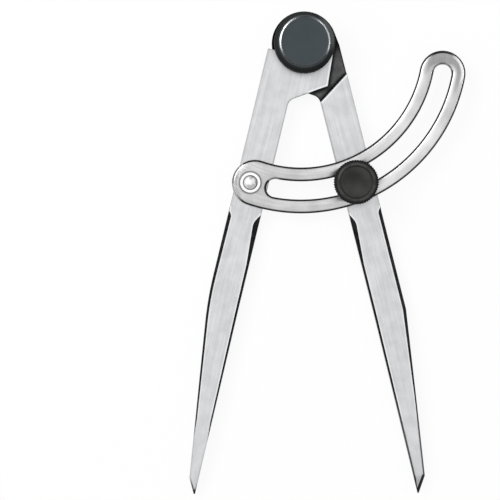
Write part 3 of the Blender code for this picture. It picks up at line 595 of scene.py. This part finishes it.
def turned_steel(name, centre, level, roughness, shade_rings=()):
    """Turned steel with fine rings about the given axis, and painted shade from each shade ring's low to high
    radius.
    """
    g = Graph(name)
    radius = g.from_axis(centre)
    z = g.split(g.object_point)[2]
    stretched = g.join(g.math("MULTIPLY", radius, TURNED_RINGS), 0.0, g.math("MULTIPLY", z, TURNED_RINGS))
    rings = g.noise(stretched, detail=3.0, roughness=0.6)
    clouds = g.noise(g.object_point, 500.0, detail=3.0, roughness=0.55)
    ring_level = g.spread(rings, level * DARKEST_RING, level)
    shade = g.math("ADD", ring_level, g.spread(clouds, -TURNED_CLOUDS, TURNED_CLOUDS))
    # Painted shade in each ring
    for low, high in shade_rings:
        shade = g.scaled(shade, g.within(radius, low, high, 0.2 * MM), RING_SHADE)
    g.bump(rings, STEEL_MARKS, 0.3)
    return g.finish(g.grey(shade), g.spread(rings, roughness, roughness + 0.08), Metallic=1.0)


def moulded(name, centre, colours, roughness, specular, speckle):
    """Moulded plastic between two close colours, with a satin skin, as (graph, colour, roughness, radius)."""
    g = Graph(name)
    skin = g.noise(g.object_point, speckle, detail=3.0, roughness=0.6)
    drift = g.noise(g.object_point, 120.0)
    low, high = colours
    colour = g.blend(g.spread(drift, 0.0, 1.0), (*low, 1.0), (*high, 1.0))
    g.bump(skin, MOULDED_MARKS, 0.4)
    g.finish(Specular_IOR_Level=specular)
    return g, colour, g.spread(skin, roughness - 0.04, roughness + 0.05), g.from_axis(centre)


def cap_plastic():
    """Slate top, a smoother metal-like bead round it with a painted highlight towards the left and right, a
    near-black rim and wall, and a painted sheen on the rim's right.
    """
    g, colour, roughness, radius = moulded("satin_cap", (0, 0), CAP_SLATE, 0.42, 0.2, 1500.0)
    x, y, z = g.split(g.object_point)
    rim = g.between(radius, CAP_BEAD + 0.4 * MM, CAP_BEAD + 1.1 * MM)
    colour = g.blend(rim, colour, CAP_RIM_BLACK)
    wall = g.between(radius, CAP_BEAD + 1.2 * MM, CAP_RADIUS - 0.3 * MM)
    colour = g.blend(wall, colour, CAP_WALL_BLACK)
    sheen = g.both(
        g.between(g.math("DIVIDE", g.towards(x, y, CAP_SHEEN_TOWARDS), radius), 0.72, 0.97),
        g.within(radius, CAP_BEAD + 0.7 * MM, CAP_BEAD + 1.9 * MM, 0.5 * MM),
        0.6,
    )
    colour = g.blend(sheen, colour, CAP_SHEEN)

    bead = g.both(
        g.within(radius, CAP_BEAD - 0.3 * MM, CAP_BEAD + 0.35 * MM, 0.2 * MM),
        g.math("GREATER_THAN", z, CAP_TOP - 0.8 * MM),
    )
    # A painted highlight on the bead, brightest towards the left and right
    towards_highlight = g.math("DIVIDE", g.towards(g.math("ABSOLUTE", x), y, BEAD_HIGHLIGHT_TOWARDS), radius)
    bead_highlight = g.grey(g.between(towards_highlight, 0.45, 0.95, *BEAD_HIGHLIGHT), BEAD_TINT)
    colour = g.blend(bead, colour, bead_highlight)
    g.feed(g.shader.inputs["Metallic"], bead)
    roughness = g.math("ADD", roughness, g.between(rim, 0.0, 1.0, 0.0, 0.35))
    return g.finish(colour, g.raised(roughness, bead, -0.2))


def knob_plastic():
    """Mottled matt black, with a patchy painted highlight in a ring near the knurls, which are the darkest.
    """
    g, colour, roughness, radius = moulded("matt_knob", KNOB, KNOB_BLACK, 0.5, 0.3, 1200.0)
    # A painted highlight in a ring near the face's edge, broken into patches
    patches = g.between(g.noise(g.object_point, 300.0), 0.38, 0.6, 0.0, 0.8)
    ring_highlight = g.both(g.within(radius, 6.85 * MM, 7.6 * MM, 0.3 * MM), patches)
    colour = g.blend(ring_highlight, colour, KNOB_RING_HIGHLIGHT)
    rim = g.between(radius, KNOB_FACE + 0.1 * MM, KNOB_FACE + 0.5 * MM)
    colour = g.blend(rim, colour, KNURL_BLACK)
    groove = g.within(radius, KNOB_GROOVE - 0.25 * MM, KNOB_GROOVE + 0.25 * MM, 0.15 * MM)
    colour = g.blend(g.both(groove, 0.75), colour, KNURL_BLACK)
    roughness = g.math("ADD", roughness, g.between(rim, 0.0, 1.0, 0.0, 0.3))
    return g.finish(colour, roughness)


def arc_points(centre, radius, start, end, step):
    count = max(1, math.ceil(abs(end - start) / step))
    return [polar(centre, radius, start + (end - start) * i / count) for i in range(count + 1)]


def band_outline(width, start, end):
    """The outline of a curved band with round ends on the arc's circle."""
    half = width / 2
    step, corner = math.radians(1.0), math.radians(6.0)
    outline = arc_points(ARC_CENTRE, ARC_RADIUS + half, start, end, step)
    far = polar(ARC_CENTRE, ARC_RADIUS, end)
    outline += arc_points(far, half, end, end + math.pi, corner)[1:-1]
    outline += arc_points(ARC_CENTRE, ARC_RADIUS - half, end, start, step)
    near = polar(ARC_CENTRE, ARC_RADIUS, start)
    outline += arc_points(near, half, start + math.pi, start + math.tau, corner)[1:-1]
    return outline


def add_object(name, mesh_data, material, body, smooth_angle):
    """An object that rides on a body, smooth where its faces meet at less than the angle."""
    mesh = bpy.data.meshes.new(name)
    bmesh.ops.recalc_face_normals(mesh_data, faces=mesh_data.faces)
    mesh_data.to_mesh(mesh)
    mesh_data.free()
    mesh.materials.append(material)
    mesh.shade_smooth()
    mesh.set_sharp_from_angle(angle=smooth_angle)
    made = bpy.data.objects.new(name, mesh)
    bpy.context.scene.collection.objects.link(made)
    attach(made, body)
    return made


def edge_profile():
    """(inset, height) steps from the bottom face, up the wall and over the rounded front edge."""
    steps = [(BACK_FLAT, ARC_LOW), (BACK_ROUNDING, ARC_LOW)]
    for angle in range(0, 91, 30):
        turn = math.radians(angle)
        steps.append((BACK_ROUNDING * (1 - math.sin(turn)), ARC_LOW + BACK_ROUNDING * (1 - math.cos(turn))))
    for inset, drop in EDGE_DROPS:
        steps.append((inset * MM, ARC_TOP - drop * MM))
    return list(dict.fromkeys(steps))


def bridge(mesh_data, rings):
    for lower, upper in zip(rings, rings[1:]):
        for i in range(len(lower)):
            j = (i + 1) % len(lower)
            mesh_data.faces.new((lower[i], lower[j], upper[j], upper[i]))


def ring_edges(mesh_data, ring):
    edges = []
    for a, b in zip(ring, ring[1:] + ring[:1]):
        edges.append(mesh_data.edges.get((a, b)) or mesh_data.edges.new((a, b)))
    return edges


def make_arc(material):
    """The slotted arc, with its outer wall, its slot and the rivet's hole as loops between two faces."""
    made = bmesh.new()
    loops = []
    for inwards, width, start in ((-1, ARC_BAND, BAND_START), (1, SLOT_WIDTH, SLOT_START)):
        rings = []
        for inset, height in edge_profile():
            outline = band_outline(width + inwards * 2 * inset, start, SLOT_END)
            rings.append([made.verts.new((p.x, p.y, height)) for p in outline])
        loops.append(rings)
    hole = []
    for height in (ARC_LOW, ARC_TOP):
        points = arc_points(RIVET, RIVET_HOLE, 0, math.tau, math.radians(7.5))[:-1]
        hole.append([made.verts.new((p.x, p.y, height)) for p in points])
    loops.append(hole)
    for rings in loops:
        bridge(made, rings)
    for end in (0, -1):
        edges = [edge for rings in loops for edge in ring_edges(made, rings[end])]
        bmesh.ops.triangle_fill(made, edges=edges, use_beauty=True)
    return add_object("slotted_arc", made, material, "quadrant", math.radians(50))


def rounded(profile):
    """(radius, height) points with corners rounded, from (radius, height, corner radius) points."""
    points = []
    for i, (radius, height, corner) in enumerate(profile):
        here = Vector((radius, height))
        if not corner:
            points.append(here)
            continue
        before = Vector(profile[i - 1][:2]) - here
        after = Vector(profile[(i + 1) % len(profile)][:2]) - here
        half_angle = before.angle(after) / 2
        inwards = (before.normalized() + after.normalized()).normalized()
        middle = here + inwards * corner / math.sin(half_angle)
        first = here + before.normalized() * corner / math.tan(half_angle) - middle
        last = here + after.normalized() * corner / math.tan(half_angle) - middle
        start = math.atan2(first.y, first.x)
        turn = math.remainder(math.atan2(last.y, last.x) - start, math.tau)
        points += arc_points(middle, corner, start, start + turn, math.radians(15))
    return points


def revolve(name, profile, centre, steps, material, body, shape=None):
    """Turns (radius, height) points about an axis. shape(i, radius, height) may change a radius."""
    made = bmesh.new()
    rings = []
    for radius, height in profile:
        if radius < 1e-7:
            rings.append([made.verts.new((*centre, height))] * steps)
            continue
        ring = []
        for i in range(steps):
            out = shape(i, radius, height) if shape else radius
            place = polar(centre, out, math.tau * i / steps)
            ring.append(made.verts.new((place.x, place.y, height)))
        rings.append(ring)
    for lower, upper in zip(rings, rings[1:]):
        for i in range(steps):
            j = (i + 1) % steps
            corners = dict.fromkeys((lower[i], lower[j], upper[j], upper[i]))
            if len(corners) > 2:
                made.faces.new(list(corners))
    return add_object(name, made, material, body, math.radians(40))


def make_cap(material):
    """The cap, from the middle of its top over the bead and down the wall, then up its hollow."""
    inside = CAP_RADIUS - CAP_WALL
    profile = rounded([
        (0, CAP_TOP - CAP_DISH, 0),
        (CAP_BEAD - 0.7 * MM, CAP_TOP - CAP_DISH, 0.1 * MM),
        (CAP_BEAD - 0.35 * MM, CAP_TOP, 0.15 * MM),
        (CAP_BEAD + 0.35 * MM, CAP_TOP - 0.36 * MM, 0.3 * MM),
        (CAP_BEAD + 1.6 * MM, CAP_TOP - 1.5 * MM, 0.6 * MM),
        (CAP_RADIUS - 0.15 * MM, CAP_TOP - 3.0 * MM, 1.0 * MM),
        (CAP_RADIUS, CAP_TOP - 5.0 * MM, 0.5 * MM),
        (CAP_RADIUS, CAP_LOW, 0.3 * MM),
        (inside, CAP_LOW, 0),
        (inside, CAP_INNER_STEP, 0),
        (CAP_BORE, CAP_INNER_STEP, 0),
        (CAP_BORE, CAP_BORE_TOP, 0),
        (0, CAP_BORE_TOP, 0),
    ])
    return revolve("cap_body", profile, (0, 0), 144, material, "right_leg")


def make_knob(material):
    """The knob, from the middle of its face over the knurls to its foot, then up the insert's bore."""
    low, top = KNOB_LOW, KNOB_TOP
    knurl_low, knurl_high = low + 1.5 * MM, top - 0.95 * MM
    knurl_ends = 0.35 * MM

    def knurled(i, radius, height):
        if not knurl_low - knurl_ends < height < knurl_high + knurl_ends or radius < 8.3 * MM:
            return radius
        wave = math.cos(math.tau * i / STEPS_PER_KNURL)
        return radius - KNURL_DEPTH * (0.5 - 0.5 * wave) ** KNURL_SHARPNESS

    profile = rounded([
        (0, top - 0.05 * MM, 0),
        (4.0 * MM, top - 0.03 * MM, 0),
        (KNOB_GROOVE - 0.3 * MM, top, 0.1 * MM),
        (KNOB_GROOVE, top - 0.2 * MM, 0.1 * MM),
        (KNOB_GROOVE + 0.3 * MM, top, 0.1 * MM),
        (KNOB_FACE - 0.2 * MM, top, 0.3 * MM),
        (KNOB_FACE + 0.6 * MM, top - 0.6 * MM, 0.15 * MM),
        (KNOB_RADIUS - 0.3 * MM, knurl_high + 0.2 * MM, 0),
        (KNOB_RADIUS, knurl_high - 0.1 * MM, 0.2 * MM),
        (KNOB_RADIUS, knurl_low + 0.1 * MM, 0.2 * MM),
        (KNOB_RADIUS - 0.7 * MM, low + KNOB_FOOT_HEIGHT, 0),
        (KNOB_FOOT, low + KNOB_FOOT_HEIGHT, 0.1 * MM),
        (KNOB_FOOT, low, 0.15 * MM),
        (INSERT_BORE, low, 0),
        (INSERT_BORE, low + INSERT_BORE_DEPTH, 0),
        (SCREW_BORE, low + INSERT_BORE_DEPTH, 0),
        (SCREW_BORE, low + SCREW_BORE_DEPTH, 0),
        (0, low + SCREW_BORE_DEPTH, 0),
    ])
    steps = KNURLS * STEPS_PER_KNURL
    return revolve("knob_body", profile, KNOB, steps, material, "clamp_knob", shape=knurled)


def smooth_shading():
    """Geometry nodes that weld a faceted solid and shade it smooth up to an angle."""
    tree = bpy.data.node_groups.new("smooth_shading", "GeometryNodeTree")
    tree.interface.new_socket("Geometry", in_out="INPUT", socket_type="NodeSocketGeometry")
    tree.interface.new_socket("Geometry", in_out="OUTPUT", socket_type="NodeSocketGeometry")
    start = tree.nodes.new("NodeGroupInput")
    end = tree.nodes.new("NodeGroupOutput")
    weld = tree.nodes.new("GeometryNodeMergeByDistance")
    weld.inputs["Distance"].default_value = 1e-6
    angle = tree.nodes.new("GeometryNodeInputMeshEdgeAngle")
    sharp = tree.nodes.new("FunctionNodeCompare")
    sharp.operation = "GREATER_THAN"
    sharp.inputs["B"].default_value = math.radians(25)
    normals = tree.nodes.new("GeometryNodeSetMeshNormal")
    normals.mode = "SHARPNESS"
    links = tree.links
    links.new(start.outputs[0], weld.inputs["Geometry"])
    links.new(weld.outputs[0], normals.inputs["Mesh"])
    links.new(angle.outputs["Unsigned Angle"], sharp.inputs["A"])
    links.new(sharp.outputs[0], normals.inputs["Edge Sharpness"])
    links.new(normals.outputs[0], end.inputs[0])
    return tree


def assign(node, material):
    for slot in frame["nodes"][node].material_slots:
        slot.link = "OBJECT"
        slot.material = material


def make_floor():
    """A pale floor just below the divider, seen as white, and clear from below."""
    made = bmesh.new()
    bmesh.ops.create_grid(made, x_segments=1, y_segments=1, size=FLOOR_HALF_WIDTH)
    mesh = bpy.data.meshes.new("floor")
    made.to_mesh(mesh)
    made.free()
    floor = bpy.data.objects.new("floor", mesh)
    floor.location.z = -FLOOR_GAP
    bpy.context.scene.collection.objects.link(floor)
    g = Graph("white_floor")
    g.finish(FLOOR_COLOUR, 0.7, Specular_IOR_Level=0.2)
    path = g.add("ShaderNodeLightPath")
    seen = g.either(*(path.outputs[f"Is {ray} Ray"] for ray in ("Camera", "Glossy", "Transmission")))
    glow = g.add("ShaderNodeEmission")
    mix = g.add("ShaderNodeMixShader")
    g.feed(mix.inputs[0], g.math("MULTIPLY", seen, FLOOR_GLOW))
    g.feed(mix.inputs[1], g.shader.outputs[0])
    g.feed(mix.inputs[2], glow.outputs[0])
    sides = g.add("ShaderNodeMixShader")
    g.feed(sides.inputs[0], g.add("ShaderNodeNewGeometry").outputs["Backfacing"])
    g.feed(sides.inputs[1], mix.outputs[0])
    g.feed(sides.inputs[2], g.add("ShaderNodeBsdfTransparent").outputs[0])
    g.feed(g.tree.nodes["Material Output"].inputs["Surface"], sides.outputs[0])
    mesh.materials.append(g.material)


def make_world():
    """A white ceiling and pale horizon with greyer walls between them."""
    world = bpy.data.worlds.new("studio")
    bpy.context.scene.world = world
    world.use_nodes = True
    tree = world.node_tree
    place = tree.nodes.new("ShaderNodeTexCoord")
    parts = tree.nodes.new("ShaderNodeSeparateXYZ")
    ramp = tree.nodes.new("ShaderNodeValToRGB")
    tree.links.new(place.outputs["Generated"], parts.inputs[0])
    tree.links.new(parts.outputs["Z"], ramp.inputs[0])
    tree.links.new(ramp.outputs[0], tree.nodes["Background"].inputs["Color"])
    stops = ramp.color_ramp.elements
    stops[0].position, stops[1].position = 0.0, 1.0
    for position, _ in SKY_LEVELS[1:-1]:
        stops.new(position)
    for stop, (position, level) in zip(stops, SKY_LEVELS):
        stop.position = position
        stop.color = (level, level, level, 1.0)


def add_lamp(name, place, aim, size, power):
    light = bpy.data.lights.new(name, "AREA")
    light.shape = "RECTANGLE"
    light.size, light.size_y = size
    light.energy = power
    lamp = bpy.data.objects.new(name, light)
    bpy.context.scene.collection.objects.link(lamp)
    lamp.location = place
    lamp.rotation_euler = (Vector(aim) - Vector(place)).to_track_quat("-Z", "Y").to_euler()


def make_camera():
    """A camera that looks straight down, shifted so that the picture has its own centre."""
    camera = bpy.data.cameras.new("camera")
    camera.lens = LENS
    camera.sensor_width = SENSOR
    camera.clip_start = 0.05
    camera.clip_end = 20.0
    holder = bpy.data.objects.new("camera", camera)
    bpy.context.scene.collection.objects.link(holder)
    distance = IMAGE_SPAN * LENS / SENSOR
    holder.location = (IMAGE_CENTRE[0], CAMERA_ABOVE, LEG_FACE + distance)
    camera.shift_y = (IMAGE_CENTRE[1] - CAMERA_ABOVE) / IMAGE_SPAN
    bpy.context.scene.camera = holder


for thing in list(bpy.data.objects):
    bpy.data.objects.remove(thing, do_unlink=True)
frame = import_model()

assign("left_leg", leg_steel(-1))
assign("right_leg", leg_steel(1))
rivet_steel = turned_steel("bright_rivet", RIVET, 0.97, 0.34, RIVET_SHADE_RINGS)
pivot_steel = turned_steel("plain_pivot_steel", (0, 0), 0.45, 0.36)
clamp_steel = turned_steel("plain_clamp_steel", KNOB, 0.45, 0.36)
for node in ("quadrant_rivet", "rivet_washer"):
    assign(node, rivet_steel)
for node in ("pivot_screw", "head_washer", "lower_disc_spring", "upper_disc_spring", "pivot_nut"):
    assign(node, pivot_steel)
for node in ("clamp_screw", "clamp_washer", "knob_insert"):
    assign(node, clamp_steel)

arc = make_arc(arc_steel())
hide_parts("quadrant")
cap = make_cap(cap_plastic())
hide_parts("head_cap")
knob = make_knob(knob_plastic())
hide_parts("clamp_knob")

shading = smooth_shading()
for node in frame["nodes"].values():
    node.modifiers.new("smooth_shading", "NODES").node_group = shading

make_floor()
make_world()
for lamp in LAMPS:
    add_lamp(*lamp)
make_camera()
bpy.context.scene.view_settings.view_transform = "Standard"
